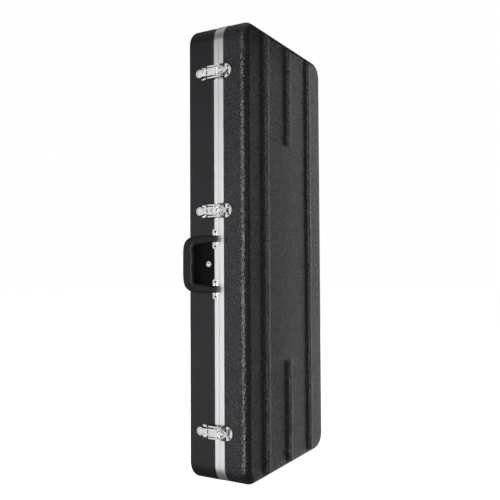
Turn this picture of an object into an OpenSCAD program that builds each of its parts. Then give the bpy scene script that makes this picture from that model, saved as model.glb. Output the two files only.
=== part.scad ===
// Rectangular electric guitar case, standing on its body end.
// X is the thickness (base face at -X, lid face at +X), Y is the width
// (latches and handle at -Y, hinges at +Y) and Z is the length (headstock end up).

/* [Case] */
// Overall length of the two shells
case_l = 1060; // [1040:5:1100]
// Overall width of the two shells
case_w = 422; // [410:2:440]
// Depth from the outside of the base face to the outside of the lid face, without the ribs
case_d = 158; // [156:1:162]
// Corner radius seen from the front
corner_r = 43; // [38:1:50]
// Radius between the lid's face and its sides
edge_r = 18; // [12:1:18]
// Radius between the base's face and its sides
edge_b = 12; // [10:1:18]
// Wall thickness of the moulded shells
wall = 3.2; // [2.8:0.2:3.4]

/* [Moulded ribs] */
// Distance between the lengthwise ribs
rib_pitch = 118; // [105:1:125]
// Height of a rib
rib_h = 4; // [3:0.5:4.5]
// Half width of a rib at its foot
rib_foot = 21; // [19:1:23]
// Half width of a rib at its crown
rib_crown = 9; // [9:1:12]
// Lower end of the break in the middle rib
rib_gap_z0 = 265; // [240:5:300]
// Upper end of the break in the middle rib
rib_gap_z1 = 795; // [760:5:820]

/* [Valance] */
// Plane where base and lid part
part_x = 7.2; // [6.8:0.1:7.6]
// Left edge of the base valance
val_x0 = -5; // [-6.5:0.5:-4]
// Right edge of the lid valance
val_x1 = 20.2; // [19.7:0.5:21.2]
// Gap between the two valances
val_gap = 0.6; // [0.4:0.1:0.8]
// Thickness of the outer flange
val_t = 1.5; // [1.3:0.1:1.5]
// Depth of the whole valance section
val_deep = 4.8; // [4.6:0.1:5]
// How far the valance stands proud of the shells on the long sides and the top
step = 0.8; // [0.6:0.1:0.9]

/* [Latches] */
// Height of the bottom latch
latch_z_bottom = 118; // [110:2:140]
// Height of the middle latch, the one with the lock
latch_z_middle = 622; // [615:1:640]
// Height of the top latch
latch_z_top = 943; // [900:1:950]
// Radius of the lever's pivot pin
lever_pin_r = 1.5; // [1.4:0.1:1.5]
// Radius of the claw's pivot stubs
claw_pin_r = 1.3; // [1.1:0.1:1.3]

/* [Handle] */
// Height of the handle's centre
handle_z = 500; // [490:1:510]
// Distance from the handle's centre to each pivot arm's centre
arm_z = 57.5; // [55:0.5:60]
// Width of a pivot arm
arm_w = 15; // [13:0.5:15]
// Half thickness of the grip
grip_r = 9.5; // [9:0.5:10]
// Distance from the pivot to the grip's outer edge
grip_reach = 81; // [78:1:82]
// Width of the grip, from its outer edge to its inner edge
grip_w = 28; // [26:1:28]
// Radius of the handle's pivot pins
handle_pin_r = 2; // [1.8:0.1:2.2]

/* [Hinges] */
// Heights of the rear hinges
hinge_z = [150, 530, 910]; // [60:1000]
// Length of one hinge
hinge_l = 66; // [54:3:72]
// Outer radius of a knuckle
knuckle_r = 3.2; // [3:0.1:3.3]

/* [Padding] */
// Thickness of the floor pad
floor_pad = 15; // [10:1:15]
// Thickness of the lid pad
lid_pad_t = 10; // [8:1:10]
// Radius of the well at the guitar's lower bout
bout_low_r = 172; // [160:1:174]
// Radius of the well at the guitar's upper bout
bout_up_r = 140; // [130:1:142]
// Half width of the neck channel
neck_half = 42; // [38:1:44]
// Half width of the headstock well
head_half = 75; // [70:1:80]

/* [Hidden] */

xb = -case_d / 2;            // outside of the base face
xl = case_d / 2;             // outside of the lid face
side = case_w / 2;           // outside of the long sides
vb1 = part_x - val_gap / 2;  // parting edge of the base valance
vl0 = part_x + val_gap / 2;  // parting edge of the lid valance
rivet_r = 1.55;
rivet_hole = 1.7;
ax_u = 6;                    // lever pivot, along X and out from the side
ax_h = 5.5;
bx_u = -3;                   // claw pivot on the lever
bx_h = 4.7;
piv_x = 0;                   // handle pivot
piv_h = 8;
hinge_h = 3.6;               // hinge axis out from the rear side
br_x = -2.2;                 // bracket rivets
br_w = 16.8;
pad_base = xb + wall + floor_pad + 0.4; // underside of the padding blocks
pad_top = -9;                // upper surface of the padding blocks
lock_u = -5;
ear_u = -34.6;               // latch plate rivets, on the plate's two ears
ear_w = 11.4;
tray_y0 = 62;
tray_y1 = 130;
tray_z0 = 560;
tray_z1 = 830;

// ---- shared shapes ----

// rounded outline of the case in plan, set in by d
module outline(d) {
  r = corner_r - d;
  translate([-side + corner_r, d]) square([case_w - 2 * corner_r, case_l - 2 * d]);
  translate([-side + d, corner_r]) square([case_w - 2 * d, case_l - 2 * corner_r]);
  for (y = [-side + corner_r, side - corner_r], z = [corner_r, case_l - corner_r])
    translate([y, z]) circle(r, $fn = 96);
}

// extrudes a plan shape from x0 to x1
module plan(x0, x1) translate([x0, 0, 0]) rotate([90, 0, 90]) linear_extrude(x1 - x0) children();

// ring that follows the outline between two depths
module ring(x0, x1, d0, d1) plan(x0, x1) difference() { outline(d0); outline(d1); }

// corner puck with a rounded outer edge, for the hulls of the shells
module puck(r, f, h) rotate_extrude($fn = 40)
  polygon(concat([[0, 0], [r, 0]],
    [for (i = [0:4]) [r - f + f * cos(i * 22.5), h - f + f * sin(i * 22.5)]],
    [[0, h]]));

// tray-shaped solid: inset d, edge radius f, depth h, open side at the local origin plane
module blank(d, f, h) hull()
  for (y = [-side + corner_r, side - corner_r], z = [corner_r - step, case_l - corner_r])
    translate([y, z, 0]) puck(corner_r - d - step, f, h);

// local frame of the latch side: u along +X, w along +Z, h outwards
module latch_side(z) translate([0, -side, z]) rotate([90, 0, 0]) children();

// local frame of the hinge side: u along +X, w along -Z, h outwards
module hinge_side(z) translate([0, side, z]) rotate([-90, 0, 0]) children();

// extrudes a u-h profile between two w positions
module across(w0, w1) translate([0, w1, 0]) rotate([90, 0, 0]) linear_extrude(w1 - w0) children();

// rivet through a plate of thickness t and a wall of thickness s
module rivet(t, s, head = 3) {
  translate([0, 0, t]) rotate_extrude($fn = 32)
    polygon([[0, 0], [head, 0], [head * 0.96, 0.4], [head * 0.8, 0.85], [head * 0.5, 1.2], [head * 0.2, 1.35], [0, 1.35]]);
  translate([0, 0, -s]) cylinder(h = s + t, r = rivet_r, $fn = 32);
  translate([0, 0, -s - 1]) cylinder(h = 1, r = 2.8, $fn = 32);
}

module rivet_bore(len = 20) translate([0, 0, -len / 2]) cylinder(h = len, r = rivet_hole, $fn = 32);

function latch_zs() = [latch_z_bottom, latch_z_middle, latch_z_top];

// ---- shells ----

// half section of a rib, from its central groove out to its foot
function rib_half() = [[0, rib_h - 1.3], [1.2, rib_h - 1.3], [2.2, rib_h], [rib_crown - 1.6, rib_h], [rib_crown, rib_h - 0.5],
                       [rib_foot - 2.6, 0.4], [rib_foot, 0], [rib_foot, -1]];
function rib_side() = concat([for (p = rib_half()) p], [for (i = [len(rib_half()) - 1:-1:1]) [-rib_half()[i][0], rib_half()[i][1]]]);

module rib(y, z0, z1) translate([0, y, z0]) linear_extrude(z1 - z0)
  polygon([for (p = rib_side()) [xl + p[1], p[0]]]);

module ribs() intersection() {
  union() {
    rib(-rib_pitch, 0, case_l);
    rib(rib_pitch, 0, case_l);
    rib(0, 0, rib_gap_z0);
    rib(0, rib_gap_z1, case_l);
  }
  translate([val_x1, 0, 0]) rotate([90, 0, 90]) blank(0, edge_r + rib_h, xl - val_x1 + rib_h);
}

module lid_shell() color([0.09, 0.09, 0.10]) difference() {
  union() {
    difference() {
      translate([val_x1, 0, 0]) rotate([90, 0, 90]) blank(0, edge_r, xl - val_x1);
      translate([val_x1 - 0.01, 0, 0]) rotate([90, 0, 90]) blank(wall, edge_r - wall, xl - val_x1 - wall);
    }
    ring(13.2, val_x1 + 1.5, 1.6, 3.0);
    ribs();
  }
  for (z = latch_zs(), w = [-9.4, 9.4]) latch_side(z) translate([33.6, w, 0]) rivet_bore();
  for (z = hinge_z, w = [-hinge_l / 3, hinge_l / 3]) hinge_side(z) translate([29, w, 0]) rivet_bore();
}

module base_shell() color([0.07, 0.07, 0.08]) difference() {
  union() {
    mirror([1, 0, 0]) {
      difference() {
        translate([-val_x0, 0, 0]) rotate([90, 0, 90]) blank(0, edge_b, xl + val_x0);
        translate([-val_x0 - 0.01, 0, 0]) rotate([90, 0, 90]) blank(wall, edge_b - wall, xl + val_x0 - wall);
      }
      intersection() {
        union() {
          rib(-rib_pitch, 0, case_l);
          rib(rib_pitch, 0, case_l);
          rib(0, 0, rib_gap_z0);
          rib(0, rib_gap_z1, case_l);
        }
        translate([-val_x0, 0, 0]) rotate([90, 0, 90]) blank(0, edge_b + rib_h, xl + val_x0 + rib_h);
      }
    }
    ring(val_x0 - 1.5, vb1 - 2.2, 1.6, 3.0);
  }
  for (z = latch_zs(), w = [-ear_w, ear_w]) latch_side(z) translate([ear_u, w, 0]) rivet_bore();
  for (s = [-1, 1], w = [-br_w, br_w]) latch_side(handle_z + s * arm_z) translate([br_x, w, 0]) rivet_bore();
  latch_side(handle_z) translate([-20, 0, -10]) cylinder(h = 20, r = 2.3, $fn = 32);
  for (z = hinge_z, w = [-hinge_l / 3, hinge_l / 3]) hinge_side(z) translate([-14, w, 0]) rivet_bore();
}

// ---- valances ----

module base_valance() color([0.80, 0.80, 0.82]) difference() {
  union() {
    difference() {
      ring(val_x0, vb1, 0, val_deep);
      ring(val_x0 - 1, vb1 - 2, val_t, 3.3);
    }
    ring(vb1 - 0.5, vb1 + 2.3, 2.2, 3.6);
  }
  for (s = [-1, 1], w = [-br_w, br_w]) latch_side(handle_z + s * arm_z) translate([br_x, w, 0]) rivet_bore();
}

module lid_valance() color([0.82, 0.82, 0.84]) difference() {
  ring(vl0, val_x1, 0, val_deep);
  ring(13, val_x1 + 1, val_t, 3.3);
  ring(vl0 - 1, vl0 + 2.9, 1.8, 4.0);
}

// ---- rear hinges ----

// leaf on one side of the axis; s is -1 for the base and 1 for the lid
module leaf(s, rivet_u) {
  third = hinge_l / 3;
  own = s < 0 ? [-third, third] : [0];
  difference() {
    union() {
      // packing between the plate and the shell
      translate([s < 0 ? rivet_u - 6 : val_x1 + 0.2, -hinge_l / 2, -step])
        cube([s < 0 ? val_x0 - 0.2 - rivet_u + 6 : rivet_u + 6 - val_x1 - 0.2, hinge_l, 1 + step]);
      // plate, cut back beside the other leaf's knuckles
      translate([part_x + (s < 0 ? -(part_x - rivet_u + 6) : 3.9), -hinge_l / 2, 0])
        cube([s < 0 ? part_x - rivet_u + 6 - 3.9 : rivet_u + 6 - part_x - 3.9, hinge_l, 1.4]);
      for (w = own) {
        translate([part_x + (s < 0 ? -6 : 0.5), w - third / 2 + 0.3, 0]) cube([5.5, third - 0.6, 1.4]);
        translate([part_x, w + third / 2 - 0.3, hinge_h]) rotate([90, 0, 0])
          cylinder(h = third - 0.6, r = knuckle_r, $fn = 40);
      }
    }
    translate([part_x, hinge_l, hinge_h]) rotate([90, 0, 0])
      cylinder(h = 2 * hinge_l, r = s < 0 ? 1.52 : 1.57, $fn = 32);
    for (w = [-third, third]) translate([rivet_u, w, 0]) rivet_bore();
  }
}

module hinge_base_leaves() color([0.78, 0.78, 0.80]) for (z = hinge_z) hinge_side(z) leaf(-1, -14);
module hinge_lid_leaves() color([0.78, 0.78, 0.80]) for (z = hinge_z) hinge_side(z) leaf(1, 29);
module hinge_pins() color([0.7, 0.7, 0.72]) for (z = hinge_z) hinge_side(z)
  translate([part_x, hinge_l / 2 + 0.5, hinge_h]) rotate([90, 0, 0]) cylinder(h = hinge_l + 1, r = 1.5, $fn = 32);
module hinge_base_rivets() color([0.8, 0.8, 0.82]) for (z = hinge_z, w = [-hinge_l / 3, hinge_l / 3])
  hinge_side(z) translate([-14, w, 0]) rivet(1.4, wall + step);
module hinge_lid_rivets() color([0.8, 0.8, 0.82]) for (z = hinge_z, w = [-hinge_l / 3, hinge_l / 3])
  hinge_side(z) translate([29, w, 0]) rivet(1.4, wall + step);

// ---- latches ----

module latch_plate() difference() {
  union() {
    translate([-31, -14, -step]) cube([31 + val_x0 - 0.2, 28, 1 + step]);
    translate([-31, -14, 0]) cube([37.8, 28, 1.4]);
    for (w = [-ear_w, ear_w]) {
      translate([ear_u, w, -step]) cylinder(h = 1.4 + step, r = 3.4, $fn = 40);
      translate([ear_u, w - 2.6, -step]) cube([6, 5.2, 1.4 + step]);
    }
    // side rails: upright inside, sloped outside, tapered at both ends, and thicker beside the lever
    for (s = [0, 1]) mirror([0, s, 0]) intersection() {
      union() {
        across(12.5, 17.4) polygon([[-29.6, -step], [val_x0 - 0.2, -step], [val_x0 - 0.2, 0], [6.8, 0], [6.8, 0.5], [20, 0.5], [21.5, 1.5], [21.5, 4.4], [16.5, 8.8], [-18, 8.8], [-26, 5.4], [-29.6, 2.2]]);
        across(11.4, 12.6) polygon([[-26, 0], [6.8, 0], [8, 1.6], [8, 8], [7.2, 8.8], [-18, 8.8], [-26, 5.4]]);
      }
      translate([-34, 0, 0]) rotate([90, 0, 90]) linear_extrude(56) polygon([[11.4, -step], [17.4, -step], [17.4, 2.6], [15.4, 7.6], [14.6, 8.8], [11.4, 8.8]]);
    }
  }
  translate([ax_u, 20, ax_h]) rotate([90, 0, 0]) cylinder(h = 40, r = lever_pin_r + 0.02, $fn = 32);
  for (w = [-ear_w, ear_w]) translate([ear_u, w, 0]) rivet_bore();
  // window under the lever
  translate([-26, -11.4, -2]) cube([18, 22.8, 4]);
}

module lever_pin() translate([ax_u, 17.2, ax_h]) rotate([90, 0, 0]) {
  cylinder(h = 34.4, r = lever_pin_r, $fn = 32);
  translate([0, 0, -0.9]) cylinder(h = 0.9, r = 2, $fn = 32);
  translate([0, 0, 34.4]) cylinder(h = 0.9, r = 2, $fn = 32);
}

module lever(lock = false) difference() {
  union() {
    // thumb tab and its neck
    translate([-40, 0, 6]) cylinder(h = 2, r = 9.6, $fn = 64);
    translate([-36, -7, 6]) cube([20, 14, 1.6]);
    // raised box over the claw's arms
    translate([-17, -8.9, 9.1]) cube([23.4, 17.8, 1.6]);
    translate([-17, -8.9, 6]) cube([1.4, 17.8, 4.7]);
    for (w = [-8.9, 7.4]) across(w, w + 1.5) {
      translate([-17, 2.5]) square([23, 8.2]);
      translate([5, 7]) square([1.4, 3.7]);
      translate([ax_u, ax_h]) circle(3, $fn = 48);
    }
  }
  translate([ax_u, 12, ax_h]) rotate([90, 0, 0]) cylinder(h = 24, r = lever_pin_r + 0.07, $fn = 32);
  translate([bx_u, 12, bx_h]) rotate([90, 0, 0]) cylinder(h = 24, r = claw_pin_r + 0.02, $fn = 32);
  // dished thumb rest, slot across the neck, and the sunk field on the box
  translate([-40, 0, 7.1]) cylinder(h = 1, r1 = 7.2, r2 = 8.1, $fn = 64);
  translate([-21.6, -4.6, 5]) cube([2.8, 9.2, 4]);
  translate([-30.6, -8, 7.1]) cube([1.4, 16, 1]);
  if (lock) translate([lock_u, 0, 8]) cylinder(h = 4, r = 5.52, $fn = 48);
  else translate([-14.6, -6.6, 10.2]) cube([18.4, 13.2, 1]);
}

module claw_stubs() for (s = [0, 1]) mirror([0, s, 0]) translate([bx_u, 0, bx_h]) {
  translate([0, 10.9, 0]) rotate([90, 0, 0]) cylinder(h = 4, r = claw_pin_r, $fn = 32);
  translate([0, 11.1, 0]) rotate([90, 0, 0]) cylinder(h = 0.3, r = 2.1, $fn = 32);
  translate([0, 7.3, 0]) rotate([90, 0, 0]) cylinder(h = 0.6, r = 2.1, $fn = 32);
}

module claw() difference() {
  union() {
    for (w = [-10.7, 9.5]) across(w, w + 1.2) {
      translate([bx_u, bx_h]) circle(2.5, $fn = 40);
      polygon([[-5.5, 4.7], [-5.2, 6.3], [-3.6, 7.2], [0.5, 7.6], [3.2, 8.6], [11, 8.6], [11, 7.35], [4.2, 7.35], [1.5, 6.1], [-0.5, 4.7]]);
    }
    translate([0, 0, 7.35]) linear_extrude(1.25)
      polygon([[9.2, -11.9], [9.2, 11.9], [13, 11.9], [16, 10.4], [26.5, 5.6], [31, 5], [31, -5], [26.5, -5.6], [16, -10.4], [13, -11.9]]);
    // raised field between the two slots
    translate([0, 0, 8.5]) linear_extrude(0.8) polygon([[10.4, -5.4], [10.4, 5.4], [12.4, 5.4], [20.5, 0.9], [20.5, -0.9], [12.4, -5.4]]);
    translate([29.6, -5, 3.2]) cube([1.4, 10, 5.4]);
  }
  translate([bx_u, 20, bx_h]) rotate([90, 0, 0]) cylinder(h = 40, r = claw_pin_r + 0.07, $fn = 32);
  for (s = [0, 1]) mirror([0, s, 0]) translate([0, 0, 5]) linear_extrude(6) polygon([[11.6, 6.7], [13, 9], [24.6, 3.2], [24.6, 1.2], [22.6, 1.2]]);
  translate([26.8, 0, 5]) cylinder(h = 6, r = 1, $fn = 32);
}

module keeper() difference() {
  union() {
    // D-shaped plate with its straight edge towards the latch
    intersection() {
      translate([25.8, 0, -step]) cylinder(h = 1.5 + step, r = 16, $fn = 96);
      translate([25.2, -17.5, -step]) cube([20, 35, 1.5 + step]);
    }
    // catch lip that the claw hooks behind
    translate([27.6, -7, 0]) cube([1.6, 14, 5.8]);
  }
  for (w = [-9.4, 9.4]) translate([33.6, w, 0]) rivet_bore();
}

module at_latches() for (z = latch_zs()) latch_side(z) children();

module latch_plates() color([0.84, 0.84, 0.86]) at_latches() latch_plate();
module latch_plate_rivets() color([0.8, 0.8, 0.82]) at_latches() for (w = [-ear_w, ear_w]) translate([ear_u, w, 0]) rivet(1.4, wall + step, 2.3);
module lever_pins() color([0.75, 0.75, 0.77]) at_latches() lever_pin();
module keeper_plates() color([0.84, 0.84, 0.86]) at_latches() keeper();
module keeper_rivets() color([0.8, 0.8, 0.82]) at_latches() for (w = [-9.4, 9.4]) translate([33.6, w, 0]) rivet(1.5, wall + step, 2.7);

module lever_top() color([0.86, 0.86, 0.88]) latch_side(latch_z_top) lever();
module lever_middle() color([0.86, 0.86, 0.88]) latch_side(latch_z_middle) lever(true);
module lever_bottom() color([0.86, 0.86, 0.88]) latch_side(latch_z_bottom) lever();
module claw_pins_top() color([0.7, 0.7, 0.72]) latch_side(latch_z_top) claw_stubs();
module claw_pins_middle() color([0.7, 0.7, 0.72]) latch_side(latch_z_middle) claw_stubs();
module claw_pins_bottom() color([0.7, 0.7, 0.72]) latch_side(latch_z_bottom) claw_stubs();
module claw_top() color([0.82, 0.82, 0.84]) latch_side(latch_z_top) claw();
module claw_middle() color([0.82, 0.82, 0.84]) latch_side(latch_z_middle) claw();
module claw_bottom() color([0.82, 0.82, 0.84]) latch_side(latch_z_bottom) claw();

module lock_barrel() color([0.85, 0.85, 0.87]) latch_side(latch_z_middle) translate([lock_u, 0, 0]) difference() {
  union() {
    translate([0, 0, 4]) cylinder(h = 7.2, r = 5.45, $fn = 48);
    translate([0, 0, 10.7]) cylinder(h = 0.7, r1 = 5.9, r2 = 5.4, $fn = 48);
  }
  cylinder(h = 14, r = 3.6, $fn = 40);
}

module lock_plug() color([0.72, 0.72, 0.74]) latch_side(latch_z_middle) translate([lock_u, 0, 0]) difference() {
  translate([0, 0, 3.6]) cylinder(h = 7.4, r = 3.53, $fn = 40);
  translate([-0.65, -2.9, 7]) cube([1.3, 4.6, 6]);
  translate([0, 1, 7]) cylinder(h = 6, r = 1.6, $fn = 32);
}

module lock_cam() color([0.65, 0.65, 0.67]) latch_side(latch_z_middle)
  translate([lock_u - 2, -6.2, 2.3]) cube([4, 12.4, 1.3]);

// ---- handle ----

module bracket() difference() {
  union() {
    translate([-9, -19, -step]) cube([9 + val_x0 - 0.2, 38, 1 + step]);
    translate([-9.2, -18.6, 0]) cube([10.4, 37.2, 1.5]);
    for (w = [-18.6, 18.6]) hull() for (u = [-5.4, 0.2]) translate([u, w, 0]) cylinder(h = 1.5, r = 3.8, $fn = 32);
    for (w = [-9.9, 8.1]) across(w, w + 1.8) {
      translate([piv_x, piv_h]) circle(5, $fn = 48);
      translate([piv_x - 5, 0]) square([10, piv_h]);
    }
  }
  translate([piv_x, 20, piv_h]) rotate([90, 0, 0]) cylinder(h = 40, r = handle_pin_r + 0.02, $fn = 32);
  for (w = [-br_w, br_w]) translate([br_x, w, 0]) rivet_bore();
}

module handle_brackets() color([0.84, 0.84, 0.86]) for (s = [-1, 1]) latch_side(handle_z + s * arm_z) bracket();
module bracket_rivets() color([0.8, 0.8, 0.82]) for (s = [-1, 1], w = [-br_w, br_w])
  latch_side(handle_z + s * arm_z) translate([br_x, w, 0]) rivet(1.5, val_deep, 2.7);
module handle_pins() color([0.75, 0.75, 0.77]) for (s = [-1, 1]) latch_side(handle_z + s * arm_z)
  translate([piv_x, 10.4, piv_h]) rotate([90, 0, 0]) {
    cylinder(h = 20.8, r = handle_pin_r, $fn = 32);
    translate([0, 0, -0.4]) cylinder(h = 0.8, r = 3, $fn = 32);
    translate([0, 0, 20.4]) cylinder(h = 0.8, r = 3, $fn = 32);
  }

module centre_rivet() color([0.85, 0.85, 0.87]) latch_side(handle_z) translate([-20, 0, 0]) {
  difference() {
    union() {
      translate([0, 0, -step]) cylinder(h = 1.4 + step, r = 7, $fn = 64);
      translate([0, 0, 1.4]) cylinder(h = 0.6, r1 = 7, r2 = 6.2, $fn = 64);
    }
    translate([0, 0, 1.2]) cylinder(h = 2, r1 = 2.6, r2 = 4.6, $fn = 48);
  }
  translate([0, 0, -wall - step]) cylinder(h = wall + step, r = 2.1, $fn = 32);
  translate([0, 0, 1.1]) rotate_extrude($fn = 32) polygon([[0, 0], [2.2, 0], [2, 0.6], [1.2, 1.1], [0, 1.2]]);
  translate([0, 0, -wall - step - 1.2]) cylinder(h = 1.2, r = 5, $fn = 40);
}

module handle_grip() color([0.06, 0.06, 0.07]) latch_side(handle_z) {
  gh = 12.5;
  g0 = -grip_reach + grip_r;
  g1 = -grip_reach + grip_w - grip_r;
  difference() {
    union() {
      // grip, a flattened bar
      hull() for (u = [g0, g1]) translate([u, 36, gh]) rotate([90, 0, 0]) cylinder(h = 72, r = grip_r, $fn = 40);
      for (s = [0, 1]) mirror([0, s, 0]) {
        translate([piv_x, arm_z + arm_w / 2, piv_h]) rotate([90, 0, 0]) cylinder(h = arm_w, r = 6, $fn = 48);
        // arm, widening towards the grip
        hull() {
          translate([-10, arm_z - arm_w / 2, 2.2]) cube([10, arm_w, 11.6]);
          translate([-46, arm_z - arm_w / 2 - 4.6, 4]) cube([4, arm_w + 4, 14.6]);
        }
        hull() {
          translate([-46, arm_z - arm_w / 2 - 4.6, 4]) cube([4, arm_w + 4, 14.6]);
          translate([g1, 51, gh]) sphere(r = grip_r - 0.3, $fn = 24);
        }
        hull() {
          translate([g1, 51, gh]) sphere(r = grip_r - 0.3, $fn = 24);
          for (u = [g0, g1]) translate([u, 36, gh]) rotate([90, 0, 0]) cylinder(h = 3, r = grip_r, $fn = 40);
        }
      }
    }
    for (s = [-1, 1]) translate([piv_x, s * arm_z + 20, piv_h]) rotate([90, 0, 0])
      cylinder(h = 40, r = handle_pin_r + 0.08, $fn = 32);
  }
}

// ---- padding inside the base ----

// clear outline inside the walls
module inside_plan() outline(wall + step + 1.6);

// well that the guitar lies in
module guitar_plan() {
  translate([0, 222]) circle(bout_low_r, $fn = 128);
  translate([0, 395]) circle(bout_up_r, $fn = 128);
  translate([-neck_half, 480]) square([2 * neck_half, 460]);
  translate([-head_half, 880]) square([2 * head_half, 140]);
}

module block(y0, y1, z0, z1) plan(pad_base, pad_top) difference() {
  intersection() {
    inside_plan();
    translate([y0, z0]) square([y1 - y0, z1 - z0]);
  }
  guitar_plan();
  translate([tray_y0 - 1, tray_z0 - 1]) square([tray_y1 - tray_y0 + 2, tray_z1 - tray_z0 + 2]);
}

module floor_pad_base() color([0.12, 0.12, 0.13]) plan(xb + wall + 0.3, xb + wall + floor_pad) outline(18);
module tail_block() color([0.13, 0.13, 0.14]) block(-side, side, 0, 120);
module bout_pad_latch_side() color([0.13, 0.13, 0.14]) block(-side, -30, 121, 489);
module bout_pad_hinge_side() color([0.13, 0.13, 0.14]) block(30, side, 121, 489);
module neck_block_latch_side() color([0.13, 0.13, 0.14]) block(-side, -neck_half, 490, case_l);
module neck_block_hinge_side() color([0.13, 0.13, 0.14]) block(neck_half, side, 490, case_l);
module headstock_block() color([0.13, 0.13, 0.14]) block(-neck_half + 1, neck_half - 1, 1020, case_l);
module neck_cradle() color([0.13, 0.13, 0.14]) translate([0, 0, 600]) difference() {
  translate([pad_base, -neck_half + 1.5, 0]) cube([42, 2 * neck_half - 3, 60]);
  translate([-38, -27, -1]) cube([40, 54, 62]);
}

// ---- accessory compartment ----

module compartment_tray() color([0.2, 0.2, 0.21]) difference() {
  translate([pad_base, tray_y0, tray_z0]) cube([pad_top - (pad_base), tray_y1 - tray_y0, tray_z1 - tray_z0]);
  translate([pad_base + 3, tray_y0 + 3, tray_z0 + 3]) cube([80, tray_y1 - tray_y0 - 6, tray_z1 - tray_z0 - 6]);
}

module compartment_lid() color([0.13, 0.13, 0.14])
  translate([pad_top + 0.5, tray_y0 + 0.5, tray_z0 + 1]) cube([4, tray_y1 - tray_y0 - 1, tray_z1 - tray_z0 - 2]);

// strip that the compartment's lid is hung from, along its edge at the hinge side
module compartment_strip() color([0.12, 0.12, 0.13])
  translate([pad_top + 0.05, tray_y1 + 1.2, tray_z0 + 4]) cube([0.45, 12, tray_z1 - tray_z0 - 8]);

module compartment_tab() color([0.08, 0.08, 0.09])
  translate([pad_top + 4.5, tray_y0 - 6, (tray_z0 + tray_z1) / 2 - 10]) cube([1.2, 22, 20]);

// ---- padding inside the lid ----

module lid_pad() color([0.12, 0.12, 0.13]) plan(xl - wall - lid_pad_t, xl - wall - 0.3) outline(18);
module lid_lining() color([0.12, 0.12, 0.13]) ring(val_x1 + 2, xl - 15.5, wall + step + 1.4, wall + step + 3);

// ---- nodes ----

base_shell();
base_valance();
hinge_base_leaves();
hinge_pins();
hinge_base_rivets();
latch_plates();
latch_plate_rivets();
lever_pins();
handle_brackets();
bracket_rivets();
handle_pins();
centre_rivet();
floor_pad_base();
tail_block();
bout_pad_latch_side();
bout_pad_hinge_side();
neck_block_latch_side();
neck_block_hinge_side();
headstock_block();
neck_cradle();
compartment_tray();
compartment_strip();
lid_shell();
lid_valance();
hinge_lid_leaves();
hinge_lid_rivets();
keeper_plates();
keeper_rivets();
lid_pad();
lid_lining();
handle_grip();
lever_top();
claw_pins_top();
claw_top();
lever_middle();
claw_pins_middle();
claw_middle();
lever_bottom();
claw_pins_bottom();
claw_bottom();
lock_barrel();
lock_plug();
lock_cam();
compartment_lid();
compartment_tab();
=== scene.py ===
import bpy
import bmesh
import math
import numpy as np
from mathutils import Matrix, Vector, noise
from mathutils.bvhtree import BVHTree


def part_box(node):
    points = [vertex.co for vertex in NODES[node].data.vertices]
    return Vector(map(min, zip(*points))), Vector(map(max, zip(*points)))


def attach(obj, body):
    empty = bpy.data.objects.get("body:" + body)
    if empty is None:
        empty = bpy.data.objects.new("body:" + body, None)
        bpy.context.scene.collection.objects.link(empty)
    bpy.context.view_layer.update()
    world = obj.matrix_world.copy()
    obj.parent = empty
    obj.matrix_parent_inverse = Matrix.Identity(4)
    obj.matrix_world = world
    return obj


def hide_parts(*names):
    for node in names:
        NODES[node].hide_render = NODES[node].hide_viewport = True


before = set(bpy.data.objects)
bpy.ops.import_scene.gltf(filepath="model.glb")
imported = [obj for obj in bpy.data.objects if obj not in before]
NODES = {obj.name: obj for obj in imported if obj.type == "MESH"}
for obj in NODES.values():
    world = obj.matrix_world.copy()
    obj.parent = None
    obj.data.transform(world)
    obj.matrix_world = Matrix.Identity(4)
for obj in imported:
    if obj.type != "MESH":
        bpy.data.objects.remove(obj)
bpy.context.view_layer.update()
SCENE = bpy.context.scene
MM = 0.001

# main sizes of the case, in millimetres, as the construction has them
SIDE, LONG, RC, WALL, STEP = 211.0, 1060.0, 43.0, 3.2, 0.8
X_FACE, VB0, VB1, VL0, VL1 = 79.0, -5.0, 6.9, 7.5, 20.2
RIBS, RIB_H, RIB_FOOT, RIB_CROWN = (-118.0, 0.0, 118.0), 4.0, 21.0, 9.0
GAP0, GAP1 = 265.0, 795.0
HANDLE_Z, ARM_Z = 500.0, 57.5
LATCH_Z = {"top": 943.0, "middle": 622.0, "bottom": 118.0}


# ------------------------------------------------------------------ materials

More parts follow.
